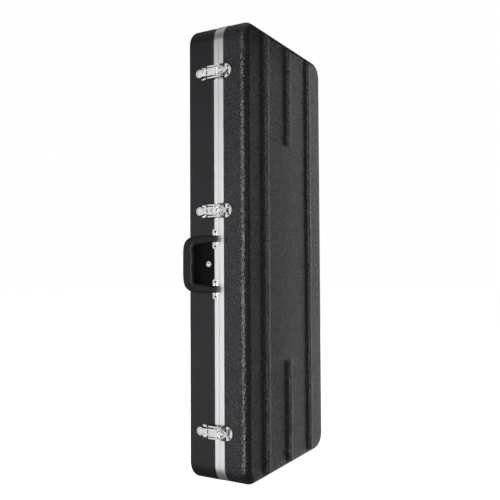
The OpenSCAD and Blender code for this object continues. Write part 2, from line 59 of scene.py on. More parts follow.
class Mat:
    """One Principled material with short calls for its nodes."""

    def __init__(self, name):
        self.m = bpy.data.materials.new(name)
        self.m.use_nodes = True
        self.nt = self.m.node_tree
        self.b = next(n for n in self.nt.nodes if n.type == "BSDF_PRINCIPLED")
        self.tc = self.nt.nodes.new("ShaderNodeTexCoord")

    def set(self, **values):
        for k, v in values.items():
            self.b.inputs[k.replace("_", " ")].default_value = v
        return self

    def link(self, a, b):
        self.nt.links.new(a, b)

    def coords(self, scale=(1, 1, 1), rot=(0, 0, 0)):
        n = self.nt.nodes.new("ShaderNodeMapping")
        n.inputs["Scale"].default_value = scale
        n.inputs["Rotation"].default_value = rot
        self.link(self.tc.outputs["Object"], n.inputs["Vector"])
        return n.outputs["Vector"]

    def noise(self, scale, detail=3.0, rough=0.5, at=None, distortion=0.0):
        n = self.nt.nodes.new("ShaderNodeTexNoise")
        n.inputs["Scale"].default_value = scale
        n.inputs["Detail"].default_value = detail
        n.inputs["Roughness"].default_value = rough
        n.inputs["Distortion"].default_value = distortion
        self.link(at or self.coords(), n.inputs["Vector"])
        return n.outputs["Fac"]

    def voronoi(self, scale, at=None, feature="SMOOTH_F1", smooth=0.6):
        n = self.nt.nodes.new("ShaderNodeTexVoronoi")
        n.feature = feature
        n.inputs["Scale"].default_value = scale
        if feature == "SMOOTH_F1":
            n.inputs["Smoothness"].default_value = smooth
        self.link(at or self.coords(), n.inputs["Vector"])
        return n.outputs["Distance"]

    def wave(self, scale, at=None, direction="X", distortion=0.0, detail=2.0):
        n = self.nt.nodes.new("ShaderNodeTexWave")
        n.bands_direction = direction
        n.inputs["Scale"].default_value = scale
        n.inputs["Distortion"].default_value = distortion
        n.inputs["Detail"].default_value = detail
        self.link(at or self.coords(), n.inputs["Vector"])
        return n.outputs["Fac"]

    def ramp(self, fac, stops):
        n = self.nt.nodes.new("ShaderNodeValToRGB")
        e = n.color_ramp.elements
        while len(e) < len(stops):
            e.new(0.5)
        for el, (p, c) in zip(e, stops):
            el.position = p
            c = (c, c, c) if isinstance(c, (int, float)) else c
            el.color = (c[0], c[1], c[2], 1)
        self.link(fac, n.inputs["Fac"])
        return n.outputs["Color"]

    def span(self, fac, lo, hi, a=0.0, b=1.0):
        n = self.nt.nodes.new("ShaderNodeMapRange")
        for k, v in (("From Min", a), ("From Max", b), ("To Min", lo), ("To Max", hi)):
            n.inputs[k].default_value = v
        self.link(fac, n.inputs["Value"])
        return n.outputs["Result"]

    def math(self, op, a, b):
        n = self.nt.nodes.new("ShaderNodeMath")
        n.operation = op
        for i, v in enumerate((a, b)):
            if isinstance(v, (int, float)):
                n.inputs[i].default_value = v
            else:
                self.link(v, n.inputs[i])
        return n.outputs[0]

    def mix(self, fac, a, b, blend="MIX"):
        n = self.nt.nodes.new("ShaderNodeMix")
        n.data_type = "RGBA"
        n.blend_type = blend
        for i, v in ((0, fac), (6, a), (7, b)):
            if isinstance(v, (int, float)):
                n.inputs[i].default_value = v
            elif isinstance(v, tuple):
                n.inputs[i].default_value = (*v, 1)
            else:
                self.link(v, n.inputs[i])
        return n.outputs[2]

    def color(self, out):
        self.link(out, self.b.inputs["Base Color"])
        return self

    def rough(self, out):
        self.link(out, self.b.inputs["Roughness"])
        return self

    def bump(self, *layers):
        """layers of (height output, strength, distance in metres), the broadest first"""
        last = None
        for h, strength, distance in layers:
            n = self.nt.nodes.new("ShaderNodeBump")
            n.inputs["Strength"].default_value = strength
            n.inputs["Distance"].default_value = distance
            self.link(h, n.inputs["Height"])
            if last is not None:
                self.link(last, n.inputs["Normal"])
            last = n.outputs["Normal"]
        self.link(last, self.b.inputs["Normal"])
        return self


def moulded(name, tone, rough, grain, depth, gloss, painted_handle_shade=None, relief=None, fleck=0.0):
    """Hair-cell grained ABS: small irregular cells with fine creases between them."""
    k = Mat(name)
    cells = k.voronoi(grain, smooth=0.45)
    crease = k.noise(grain * 1.9, 3.0, 0.6, distortion=0.6)
    broad = k.noise(7.0, 4.0, 0.55)
    scuff = k.noise(45.0, 5.0, 0.7)
    c = k.ramp(broad, [(0.3, tuple(t * 0.88 for t in tone)), (0.7, tuple(t * 1.12 for t in tone))])
    c = k.mix(k.span(cells, 0.35, 0.0, 0.05, 0.5), c, tuple(t * 1.6 for t in tone))
    deep = wear_and_glint = None
    if relief:
        # the mould's grain is shallower on the face and deeper along the ribs: (x in metres, factor)
        sep = k.nt.nodes.new("ShaderNodeSeparateXYZ")
        k.link(k.coords(), sep.inputs[0])
        deep = k.ramp(k.math("MULTIPLY", sep.outputs[0], 10.0), [(x * 10.0, v * 0.5) for x, v in relief])
        deep = k.math("MULTIPLY", deep, 2.0)
    if fleck:
        # painted glints: paler points on the grain stand in for light catching the tops of its cells, most of them on
        # the ribs; the same points are also made smoother
        wear_and_glint = k.span(k.noise(grain * 1.4, 2.0, 0.55), 0.0, 1.0, 0.49, 0.64)
        c = k.mix(k.math("MULTIPLY", wear_and_glint, k.math("MULTIPLY", deep, 0.42)), c, tuple(t * (1.0 + 3.2 * fleck) for t in tone))
    k.color(c)
    r = k.math("ADD", k.span(crease, rough - 0.05, rough + 0.07, 0.3, 0.7), k.span(scuff, -0.015, 0.02, 0.35, 0.7))
    if fleck:
        r = k.math("SUBTRACT", r, k.math("MULTIPLY", wear_and_glint, 0.07))
    k.rough(r)
    a, b = k.math("SUBTRACT", cells, 0.3), k.math("SUBTRACT", crease, 0.5)
    if relief:
        a, b = k.math("MULTIPLY", a, deep), k.math("MULTIPLY", b, deep)
    k.bump((a, 0.75, depth), (b, 0.5, depth * 0.8))
    k.set(Specular_IOR_Level=gloss)
    if painted_handle_shade:
        # painted shade: a darker, less glossy field on the handle side stands in for the handle's shadow; centre and
        # half size in x and z, in metres, then its specular level
        (cx, hx), (cz, hz), level = painted_handle_shade
        sep = k.nt.nodes.new("ShaderNodeSeparateXYZ")
        k.link(k.coords(), sep.inputs[0])
        fx = k.span(k.math("ABSOLUTE", k.math("SUBTRACT", sep.outputs[0], cx), 0.0), 1.0, 0.0, hx - 0.004, hx + 0.013)
        fz = k.span(k.math("ABSOLUTE", k.math("SUBTRACT", sep.outputs[2], cz), 0.0), 1.0, 0.0, hz - 0.003, hz + 0.013)
        fy = k.span(sep.outputs[1], 1.0, 0.0, -0.05, -0.04)
        f = k.math("MULTIPLY", k.math("MULTIPLY", fx, fz), fy)
        k.color(k.mix(f, c, tuple(t * 0.4 for t in tone)))
        k.link(k.span(f, gloss, level), k.b.inputs["Specular IOR Level"])
    return k.m


def make_materials():
    m = {}
    # the lid's paler fleck points are painted glints
    m["lid_abs"] = moulded("moulded_abs_lid", (0.0045, 0.0045, 0.0055), 0.265, 235.0, 0.0017, 0.345, fleck=3.3,
                           relief=[(0.0, 1.15), (0.058, 1.15), (0.065, 0.75), (0.0775, 0.60), (0.0797, 0.65), (0.0818, 2.2), (0.09, 2.4)])
    # the base carries a field of painted shade behind the handle, darker in colour and lower in gloss
    m["base_abs"] = moulded("moulded_abs_base", (0.0068, 0.0068, 0.0077), 0.34, 330.0, 0.00090, 0.305,
                            painted_handle_shade=((-0.0315, 0.0265), (0.500, 0.046), 0.06))

    # satin extrusion, drawn lengthwise
    k = Mat("valance_aluminium").set(Metallic=1.0)
    streak = k.noise(1.0, 4.0, 0.6, at=k.coords((1500, 9, 9)))
    fine = k.noise(1.0, 2.0, 0.6, at=k.coords((5200, 22, 22)))
    smear = k.noise(16.0, 4.0, 0.6)
    c = k.ramp(streak, [(0.25, (0.74, 0.74, 0.725)), (0.75, (0.86, 0.86, 0.84))])
    k.color(k.mix(k.span(smear, 0.0, 0.28, 0.55, 0.8), c, (0.60, 0.60, 0.63)))
    k.rough(k.math("ADD", k.span(fine, 0.28, 0.42, 0.3, 0.7), k.span(smear, -0.03, 0.08, 0.3, 0.7)))
    k.bump((streak, 0.25, 0.00006), (fine, 0.25, 0.00003))
    m["valance"] = k.m

    # nickel-chrome plate over pressed steel
    k = Mat("chrome_plate").set(Metallic=1.0)
    haze = k.noise(95.0, 4.0, 0.6)
    peel = k.noise(420.0, 2.0, 0.5)
    specks = k.noise(1500.0, 2.0, 0.6)
    k.color(k.ramp(haze, [(0.3, (0.60, 0.597, 0.572)), (0.7, (0.72, 0.717, 0.687))]))
    k.rough(k.math("ADD", k.span(haze, 0.08, 0.18, 0.35, 0.7), k.span(specks, 0.0, 0.05, 0.5, 0.75)))
    k.bump((peel, 0.16, 0.00030), (specks, 0.05, 0.00003))
    m["chrome"] = k.m

    k = Mat("bright_steel").set(Metallic=1.0)
    turn = k.noise(1.0, 3.0, 0.6, at=k.coords((900, 900, 60)))
    stain = k.noise(120.0, 4.0, 0.65)
    k.color(k.ramp(stain, [(0.3, (0.50, 0.50, 0.51)), (0.7, (0.66, 0.66, 0.67))]))
    k.rough(k.math("ADD", k.span(turn, 0.24, 0.38, 0.3, 0.7), k.span(stain, -0.03, 0.06, 0.3, 0.7)))
    k.bump((turn, 0.2, 0.00004),)
    m["steel"] = k.m

    k = Mat("zinc_steel").set(Metallic=1.0)
    spangle = k.voronoi(260.0, feature="F1")
    k.color(k.ramp(spangle, [(0.1, (0.30, 0.30, 0.32)), (0.7, (0.42, 0.42, 0.43))]))
    k.rough(k.span(spangle, 0.35, 0.5, 0.1, 0.7))
    k.bump((spangle, 0.1, 0.00004),)
    m["dark_steel"] = k.m

    # tubular rivets coloured near black, far darker than the chrome round them
    k = Mat("dark_rivet").set(Metallic=1.0)
    wear_and_glint = k.noise(160.0, 4.0, 0.65)
    k.color(k.ramp(wear_and_glint, [(0.35, (0.030, 0.030, 0.032)), (0.68, (0.085, 0.084, 0.084))]))
    k.rough(k.span(wear_and_glint, 0.30, 0.44, 0.3, 0.7))
    k.bump((k.noise(700.0, 3.0, 0.6), 0.2, 0.00004),)
    m["dark_rivet"] = k.m

    # moulded handle: finer grain, a little polish where a hand rubs it
    k = Mat("handle_plastic").set(Specular_IOR_Level=0.18)
    grain = k.voronoi(900.0, smooth=0.5)
    fleck = k.noise(1300.0, 2.0, 0.5)
    rub = k.noise(38.0, 3.0, 0.55)
    k.color(k.ramp(rub, [(0.3, (0.0060, 0.0060, 0.0062)), (0.7, (0.0092, 0.0092, 0.0094))]))
    k.rough(k.math("ADD", k.span(rub, 0.36, 0.52, 0.3, 0.7), k.span(fleck, -0.03, 0.03, 0.3, 0.7)))
    k.bump((rub, 0.1, 0.0012), (grain, 0.45, 0.00012), (fleck, 0.3, 0.00005))
    m["handle"] = k.m

    # short-pile plush over foam
    k = Mat("plush_lining").set(Sheen_Weight=0.55, Sheen_Roughness=0.45, Specular_IOR_Level=0.2)
    pile = k.noise(1400.0, 2.0, 0.7)
    tuft = k.noise(330.0, 4.0, 0.7, distortion=1.2)
    brushed = k.noise(26.0, 4.0, 0.6, at=k.coords((1.0, 1.0, 0.45)), distortion=1.5)
    c = k.ramp(brushed, [(0.3, (0.020, 0.020, 0.024)), (0.72, (0.042, 0.042, 0.049))])
    k.color(k.mix(k.span(pile, 0.0, 0.6, 0.35, 0.75), c, (0.072, 0.072, 0.082)))
    k.rough(k.span(tuft, 0.80, 0.98, 0.3, 0.7))
    k.bump((brushed, 0.35, 0.003), (tuft, 0.6, 0.0012), (pile, 0.8, 0.0005))
    m["plush"] = k.m

    k = Mat("woven_tab").set(Sheen_Weight=0.3, Sheen_Roughness=0.5)
    a = k.wave(420.0, direction="Y")
    b = k.wave(420.0, direction="Z")
    w = k.math("MULTIPLY", a, b)
    k.color(k.ramp(w, [(0.1, (0.012, 0.012, 0.014)), (0.8, (0.050, 0.050, 0.055))]))
    k.rough(k.span(w, 0.7, 0.95))
    k.bump((w, 0.8, 0.0003),)
    m["webbing"] = k.m

    k = Mat("pale_floor")
    f = k.noise(3.0, 3.0, 0.5)
    k.color(k.ramp(f, [(0.3, 0.86), (0.7, 0.89)]))
    k.rough(k.span(f, 0.7, 0.8))
    k.set(Emission_Color=(1, 1, 1, 1), Emission_Strength=0.94, Specular_IOR_Level=0.1)
    m["floor"] = k.m
    return m


M = make_materials()


# ------------------------------------------------------------------ mesh helpers

def new_object(name, verts, faces, material, smooth_angle=40.0, mm=True):
    me = bpy.data.meshes.new(name)
    k = MM if mm else 1.0
    me.from_pydata([(x * k, y * k, z * k) for x, y, z in verts], [], faces)
    me.validate()
    ob = bpy.data.objects.new(name, me)
    SCENE.collection.objects.link(ob)
    bm = bmesh.new()
    bm.from_mesh(me)
    bmesh.ops.remove_doubles(bm, verts=bm.verts, dist=1e-7)
    bmesh.ops.recalc_face_normals(bm, faces=bm.faces)
    bm.to_mesh(me)
    bm.free()
    me.materials.append(material)
    shade(ob, smooth_angle)
    return ob


def shade(ob, angle):
    me = ob.data
    me.polygons.foreach_set("use_smooth", [True] * len(me.polygons))
    if angle < 180:
        me.set_sharp_from_angle(angle=math.radians(angle))
    me.update()


def stations(ys, zs, side, r, zlo, zhi, k=14):
    """Points round the case's rounded outline: (centre y, centre z, direction y, direction z).
    The outline set in by d is centre + direction * (r - d)."""
    yc, z0, z1 = side - r, zlo + r, zhi - r
    out = []

    def arc(cy, cz, a0):
        for i in range(1, k):
            a = math.radians(a0 + 90.0 * i / k)
            out.append((cy, cz, math.cos(a), math.sin(a)))

    out += [(y, z0, 0.0, -1.0) for y in ys]
    arc(yc, z0, -90)
    out += [(yc, z, 1.0, 0.0) for z in zs]
    arc(yc, z1, 0)
    out += [(y, z1, 0.0, 1.0) for y in reversed(ys)]
    arc(-yc, z1, 90)
    out += [(-yc, z, -1.0, 0.0) for z in reversed(zs)]
    arc(-yc, z0, 180)
    return out


def at(st, r, d):
    cy, cz, dy, dz = st
    return cy + dy * (r - d), cz + dz * (r - d)


def smoothstep(t):
    t = min(1.0, max(0.0, t))
    return t * t * (3 - 2 * t)


def rib_table():
    """Half section of a rib at 0.1 mm steps, with its bends rounded as moulding rounds them."""
    o = np.arange(-30.0, 30.05, 0.1)
    a = np.abs(o)
    h = np.interp(a, [0, 1.8, 3.0, 3.6, RIB_CROWN - 1.0, RIB_CROWN, RIB_FOOT - 1.5, RIB_FOOT + 0.5, 30],
                  [RIB_H - 2.4, RIB_H - 2.4, RIB_H - 0.3, RIB_H, RIB_H, RIB_H - 0.8, 0.25, 0, 0])
    w = np.exp(-0.5 * (np.arange(-30, 31) * 0.1 / 0.4) ** 2)
    h = np.convolve(np.pad(h, 30, mode="edge"), w / w.sum(), mode="valid")
    return o, h


RIB_O, RIB_P = rib_table()


def rib_height(y, z):
    best = 0.0
    ends = smoothstep((min(z, LONG - z) - 5.0) / 15.0)
    if ends <= 0:
        return 0.0
    for c in RIBS:
        if abs(y - c) > 24:
            continue
        f = ends
        if c == 0.0:
            f *= max(smoothstep((GAP0 + 1 - z) / 9.0), smoothstep((z - GAP1 + 1) / 9.0))
        best = max(best, float(np.interp(y - c, RIB_O, RIB_P)) * f)
    return best


def line_set(lo, hi, step, dense):
    """Sorted grid lines from lo to hi, with extra lines at the dense places."""
    n = max(1, int(round((hi - lo) / step)))
    base = [lo + (hi - lo) * i / n for i in range(n + 1)]
    extra = sorted(v for v in dense if lo < v < hi)
    keep = [b for b in base if all(abs(b - e) > 0.35 for e in extra) or b in (lo, hi)]
    return sorted(set(round(v, 4) for v in keep + extra))


def make_tray(name, sign, x_rim, material, edge):
    """One moulded half of the case as a closed mesh: outer skin with ribs, rounded rim, inner skin."""
    side, r, zlo, zhi = SIDE - STEP, RC - STEP, 0.0, LONG - STEP
    yc = side - r
    offs = [0, 0.9, 1.5, 1.9, 2.3, 2.7, 3.1, 3.5, 4.1, 5.0, 6.5, 7.6, 8.1, 8.6, 9.1, 9.8, 11, 13, 15.5, 18, 19, 19.8, 20.6, 21.4, 22.4, 23.8]
    dense_y = [c + s * o for c in RIBS for o in offs for s in (-1, 1)]
    ys = line_set(-yc, yc, 14.0, dense_y)
    dense_z = [GAP0 + 1 - t for t in (-1, 0, 1, 2.2, 3.6, 5, 6.4, 7.8, 9, 10)] + [GAP1 - 1 + t for t in (-1, 0, 1, 2.2, 3.6, 5, 6.4, 7.8, 9, 10)]
    zs = line_set(zlo + r, zhi - r, 22.0, dense_z)
    st = stations(ys, zs, side, r, zlo, zhi)
    n = len(st)
    # outer levels from the rim to the face: (inset, x)
    if sign < 0:
        # relief groove beside the valance
        levels = [(2.2, x_rim), (2.15, x_rim + 1.5), (1.8, x_rim + 2.0), (0.5, x_rim + 3.0), (0.14, x_rim + 3.35), (0.0, x_rim + 3.8)]
    else:
        levels = [(1.7, x_rim), (1.5, x_rim + 0.25), (0.35, x_rim + 1.5), (0.08, x_rim + 1.9), (0.0, x_rim + 2.3)]
    xw = X_FACE - edge
    x1 = levels[-1][1]
    for i in range(1, 6):
        levels.append((0.0, x1 + (xw - x1) * i / 5))
    for i in range(1, 15):
        a = math.radians(90.0 * i / 14)
        levels.append((edge * (1 - math.cos(a)), xw + edge * math.sin(a)))
    levels += [(20.5, X_FACE), (23.0, X_FACE), (27.0, X_FACE), (33.0, X_FACE)]
    verts, faces = [], []
    for d, x in levels:
        for s in st:
            y, z = at(s, r, d)
            h = rib_height(y, z) if d > 1.0 else 0.0
            verts.append((sign * (x + h), y, z))
    for l in range(len(levels) - 1):
        for i in range(n):
            j = (i + 1) % n
            faces.append((l * n + i, l * n + j, (l + 1) * n + j, (l + 1) * n + i))
    # middle of the face
    grid0 = len(verts)
    for z in zs:
        for y in ys:
            verts.append((sign * (X_FACE + rib_height(y, z)), y, z))
    ny, nz = len(ys), len(zs)

    def gid(iy, iz):
        return grid0 + iz * ny + iy

    for iz in range(nz - 1):
        for iy in range(ny - 1):
            faces.append((gid(iy, iz), gid(iy + 1, iz), gid(iy + 1, iz + 1), gid(iy, iz + 1)))

    def border(s):
        cy, cz = s[0], s[1]
        iy = min(range(ny), key=lambda q: abs(ys[q] - cy))
        iz = min(range(nz), key=lambda q: abs(zs[q] - cz))
        return gid(iy, iz)

    last = (len(levels) - 1) * n
    for i in range(n):
        j = (i + 1) % n
        a, b = border(st[i]), border(st[j])
        faces.append((last + i, last + j, a) if a == b else (last + i, last + j, b, a))
    # inner skin
    inner = [(WALL - 0.3, x_rim), (WALL, x_rim + 0.3), (WALL, xw)]
    ri = edge - WALL
    for i in range(1, 6):
        a = math.radians(90.0 * i / 5)
        inner.append((WALL + ri * (1 - math.cos(a)), xw + ri * math.sin(a)))
    prev = 0
    for d, x in inner:
        here = len(verts)
        for s in st:
            y, z = at(s, r, d)
            verts.append((sign * x, y, z))
        for i in range(n):
            j = (i + 1) % n
            faces.append((prev + j, prev + i, here + i, here + j))
        prev = here
    faces.append(tuple(prev + i for i in range(n)))
    if sign < 0:
        faces = [tuple(reversed(f)) for f in faces]
    return new_object(name, verts, faces, material, 60.0)


def sweep_ring(name, profile, material, side=SIDE, r=RC, zlo=0.0, zhi=LONG, k=20, angle=35.0):
    """A closed (inset, x) profile carried round the outline."""
    yc = side - r
    ys = [-yc + 2 * yc * i / 6 for i in range(7)]
    z0, z1 = zlo + r, zhi - r
    zs = [z0 + (z1 - z0) * i / 16 for i in range(17)]
    st = stations(ys, zs, side, r, zlo, zhi, k)
    n, p = len(st), len(profile)
    verts, faces = [], []
    for s in st:
        for d, x in profile:
            y, z = at(s, r, d)
            verts.append((x, y, z))
    for i in range(n):
        j = (i + 1) % n
        for q in range(p):
            w = (q + 1) % p
            faces.append((i * p + q, j * p + q, j * p + w, i * p + w))
    return new_object(name, verts, faces, material, angle)


# ------------------------------------------------------------------ hard pieces

def shells():
    base = make_tray("shell_of_base", -1, -VB0, M["base_abs"], 12.0)
    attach(base, "base")
    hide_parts("base_shell")
    lid = make_tray("shell_of_lid", 1, VL1, M["lid_abs"], 18.0)
    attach(lid, "lid")
    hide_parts("lid_shell")


def valances():
    def grooves(x0, x1, at_x):
        """flat band from x0 to x1 with shallow drawn lines, and support rows beside each bend"""
        rows = [(0.16, x0), (0.16, x0 + 0.25)]
        for x in at_x:
            rows += [(0.16, x - 0.75), (0.16, x - 0.5), (0.205, x - 0.12), (0.205, x + 0.12), (0.16, x + 0.5), (0.16, x + 0.75)]
        return rows + [(0.16, x1 - 0.25), (0.16, x1)]
    base = [(0.9, VB0), (0.35, VB0 + 0.06), (0.08, VB0 + 0.28), (0.0, VB0 + 0.65), (0.0, VB0 + 1.1), (0.05, VB0 + 1.4)]
    base += grooves(VB0 + 1.75, VB1 - 0.4, (-0.6, 3.2))
    base += [(0.17, VB1 - 0.14), (0.28, VB1 - 0.02), (0.5, VB1), (2.2, 6.9), (2.2, 9.0), (3.6, 9.0), (3.6, 6.9), (4.8, 6.9), (4.8, VB0)]
    lid = [(0.5, VL0), (0.28, VL0 + 0.02), (0.17, VL0 + 0.14)]
    lid += grooves(VL0 + 0.4, VL1 - 1.75, (11.4, 15.2))
    lid += [(0.05, VL1 - 1.4), (0.0, VL1 - 1.1), (0.0, VL1 - 0.65), (0.08, VL1 - 0.28), (0.35, VL1 - 0.06), (0.9, VL1), (4.8, VL1), (4.8, 7.5),
            (4.0, 7.5), (4.0, 10.4), (1.8, 10.4), (1.8, 7.5)]
    for name, prof, body, node in (("valance_of_base", base, "base", "base_valance"), ("valance_of_lid", lid, "lid", "lid_valance")):
        ob = sweep_ring(name, prof, M["valance"])
        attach(ob, body)
        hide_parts(node)


def handle():
    """Moulded grip: a loft of rounded sections from one pivot round to the other."""
    # (outer u, outer w, inner u, inner w, middle height, half thickness)
    half = [
        (6.2, 65.0, 6.2, 50.1, 8.0, 3.6), (4.2, 65.0, 4.2, 50.1, 8.0, 5.3), (0.0, 65.0, 0.0, 50.1, 8.0, 5.95), (-9.0, 65.0, -9.0, 49.6, 8.0, 5.95),
        (-20.0, 65.0, -20.0, 48.2, 8.3, 6.1), (-32.0, 65.0, -31.6, 46.6, 9.3, 6.6), (-44.0, 65.0, -40.8, 45.3, 10.4, 7.3),
        (-57.0, 63.8, -47.6, 44.0, 11.4, 8.0), (-68.0, 59.4, -51.4, 42.4, 12.1, 8.7), (-75.4, 51.8, -52.8, 39.4, 12.4, 9.1),
        (-79.2, 42.2, -53.2, 35.0, 12.5, 9.35), (-80.7, 31.5, -53.2, 28.5, 12.5, 9.45), (-81.0, 20.0, -53.2, 19.0, 12.5, 9.5),
        (-81.0, 9.5, -53.2, 9.2, 12.5, 9.5), (-81.0, 0.0, -53.2, 0.0, 12.5, 9.5)]
    full = [np.array(p, float) for p in half] + [np.array([p[0], -p[1], p[2], -p[3], p[4], p[5]], float) for p in reversed(half[:-1])]
    path = []
    for i in range(len(full) - 1):
        p0, p1, p2, p3 = full[max(0, i - 1)], full[i], full[i + 1], full[min(len(full) - 1, i + 2)]
        for t in np.linspace(0, 1, 7, endpoint=False):
            path.append(0.5 * (2 * p1 + (p2 - p0) * t + (2 * p0 - 5 * p1 + 4 * p2 - p3) * t * t + (3 * p1 - p0 - 3 * p2 + p3) * t ** 3))
    path.append(full[-1])
    seg = 40
    verts, faces = [], []
    for k, p in enumerate(path):
        ou, ow, iu, iw, h, b = p
        # the inner side swells and draws in a little for the fingers
        iu += 1.1 * math.cos(2 * math.pi * (iw - 13.0) / 45.0) * smoothstep((42.0 - abs(iw)) / 6.0)
        cu, cw = (ou + iu) / 2, (ow + iw) / 2
        ax, ay = (ou - iu) / 2, (ow - iw) / 2
        power = 3.4
        for s in range(seg):
            a = 2 * math.pi * s / seg
            c, d = math.cos(a), math.sin(a)
            e = (abs(c) ** power + abs(d) ** power) ** (-1.0 / power)
            c, d = c * e, d * e
            # a fine parting ridge along the middle of the moulding
            ridge = 1.0 + 0.012 * math.exp(-((d * b) / 0.45) ** 2)
            u, w = cu + ax * c * ridge, cw + ay * c * ridge
            hh = h + b * d
            verts.append((u, -SIDE - hh, HANDLE_Z + w))
    for k in range(len(path) - 1):
        for s in range(seg):
            t = (s + 1) % seg
            faces.append((k * seg + s, k * seg + t, (k + 1) * seg + t, (k + 1) * seg + s))
    for k, u_off in ((0, 0.45), (len(path) - 1, 0.45)):
        ring = [k * seg + s for s in range(seg)]
        cx = sum(verts[i][0] for i in ring) / seg
        cy = sum(verts[i][1] for i in ring) / seg
        cz = sum(verts[i][2] for i in ring) / seg
        small = len(verts)
        for i in ring:
            v = verts[i]
            verts.append((cx + (v[0] - cx) * 0.75 + u_off * 0.7, cy + (v[1] - cy) * 0.75, cz + (v[2] - cz) * 0.9))
        for s in range(seg):
            t = (s + 1) % seg
            faces.append((ring[s], ring[t], small + t, small + s))
        faces.append(tuple(small + s for s in range(seg)))
    ob = new_object("grip", verts, faces, M["handle"], 50.0)
    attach(ob, "handle")
    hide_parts("handle_grip")


def hardware():
    """The metal pieces keep their construction meshes, with their pressed edges rounded."""
    table = {
        "chrome": ["latch_plates", "latch_plate_rivets", "handle_brackets", "centre_rivet", "keeper_plates",
                   "lever_top", "lever_middle", "lever_bottom", "claw_top", "claw_middle", "claw_bottom", "lock_barrel",
                   "hinge_base_leaves", "hinge_lid_leaves", "hinge_base_rivets", "hinge_lid_rivets", "handle_pins", "lever_pins"],
        "steel": ["hinge_pins", "claw_pins_top", "claw_pins_middle", "claw_pins_bottom", "lock_plug"],
        "dark_steel": ["lock_cam"],
        "dark_rivet": ["bracket_rivets", "keeper_rivets"],
    }
    small = {"latch_plate_rivets": 0.12, "bracket_rivets": 0.12, "keeper_rivets": 0.12, "hinge_base_rivets": 0.12, "hinge_lid_rivets": 0.12,
             "lock_plug": 0.12, "hinge_pins": 0.2, "claw_pins_top": 0.1, "claw_pins_middle": 0.1, "claw_pins_bottom": 0.1, "lever_pins": 0.15, "handle_pins": 0.2}
    for mat, names in table.items():
        for n in names:
            ob = NODES[n]
            ob.data.materials.clear()
            ob.data.materials.append(M[mat])
            w = ob.modifiers.new("weld", "WELD")
            w.merge_threshold = 1e-6
            b = ob.modifiers.new("rounded edges", "BEVEL")
            b.width = small.get(n, 0.28) * MM
            b.segments = 3
            b.limit_method = "ANGLE"
            b.angle_limit = math.radians(38)
            b.use_clamp_overlap = True
            b.harden_normals = False


# ------------------------------------------------------------------ soft pieces

def plush_block(name, nodes, body, voxel=7.0, rounds=3, shrink=3.0, cap=4.0, flat="x-", seed=1, ripple=0.7, cloth=True):
    """Foam wrapped in plush. The node's solid is remeshed and drawn in a little, its cover is blown up
    as cloth with its glued side held, and it never leaves the space that the solid holds."""
    bm = bmesh.new()
    for n in nodes:
        me = NODES[n].data.copy()
        bm.from_mesh(me)
        bpy.data.meshes.remove(me)
    bmesh.ops.remove_doubles(bm, verts=bm.verts, dist=1e-6)
    bmesh.ops.triangulate(bm, faces=bm.faces)
    bm.normal_update()
    hull = BVHTree.FromBMesh(bm)
    me = bpy.data.meshes.new(name)
    bm.to_mesh(me)
    bm.free()
    ob = bpy.data.objects.new(name, me)
    SCENE.collection.objects.link(ob)
    r = ob.modifiers.new("remesh", "REMESH")
    r.mode = "VOXEL"
    r.voxel_size = voxel * MM
    bake(ob)
    me = ob.data
    axis, end = "xyz".index(flat[0]), flat[1]
    bm = bmesh.new()
    bm.from_mesh(me)
    for _ in range(rounds):
        bmesh.ops.smooth_vert(bm, verts=bm.verts, factor=0.5, use_axis_x=True, use_axis_y=True, use_axis_z=True)
    bm.normal_update()
    vals = [v.co[axis] for v in bm.verts]
    edge = min(vals) + voxel * 0.6 * MM if end == "-" else max(vals) - voxel * 0.6 * MM
    held = []
    for v in bm.verts:
        if (v.co[axis] < edge) if end == "-" else (v.co[axis] > edge):
            held.append(v.index)
        elif cloth:
            v.co -= v.normal * (shrink * MM)
    bm.to_mesh(me)
    bm.free()

    def inside(co, skin=0.0):
        """co, brought back to the solid's surface where it is outside"""
        q, nrm, _, dist = hull.find_nearest(co)
        return q - nrm * (skin * MM) if (co - q).dot(nrm) > -skin * MM else co

    if cloth:
        g = ob.vertex_groups.new(name="glued")
        g.add(held, 1.0, "REPLACE")
        c = ob.modifiers.new("cover", "CLOTH")
        t = c.settings
        t.quality = 4
        t.mass = 0.3
        t.tension_stiffness = t.compression_stiffness = 12.0
        t.shear_stiffness = 4.0
        t.bending_stiffness = 0.4
        t.use_pressure = True
        t.uniform_pressure_force = 4.0
        t.effector_weights.gravity = 0.0
        t.vertex_group_mass = "glued"
        c.collision_settings.use_collision = False
        c.point_cache.frame_start, c.point_cache.frame_end = 1, 20
        for f in range(1, 21):
            SCENE.frame_set(f)
        dg = bpy.context.evaluated_depsgraph_get()
        blown = [v.co.copy() for v in ob.evaluated_get(dg).data.vertices]
        ob.modifiers.clear()
        ob.vertex_groups.clear()
        SCENE.frame_set(1)
        for v, b in zip(ob.data.vertices, blown):
            d = b - v.co
            if d.length > cap * MM:
                d *= cap * MM / d.length
            v.co = inside(v.co + d, 0.15)
    else:
        for v in ob.data.vertices:
            v.co = inside(v.co, 0.15)
    if cloth:
        sub = ob.modifiers.new("finer", "SUBSURF")
        sub.levels = sub.render_levels = 1
        bake(ob)
    me = ob.data
    bm = bmesh.new()
    bm.from_mesh(me)
    bm.normal_update()
    for v in bm.verts:
        p = v.co * 1000.0
        wander = noise.fractal(Vector((p.x * 0.02 + seed * 7.1, p.y * 0.02, p.z * 0.02)), 1.0, 2.0, 3) * ripple
        v.co = inside(v.co + v.normal * ((wander - ripple * 0.4) * MM), 0.1)
    bm.to_mesh(me)
    bm.free()
    me.materials.clear()
    me.materials.append(M["plush"])
    shade(ob, 180)
    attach(ob, body)
    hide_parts(*nodes)
    return ob


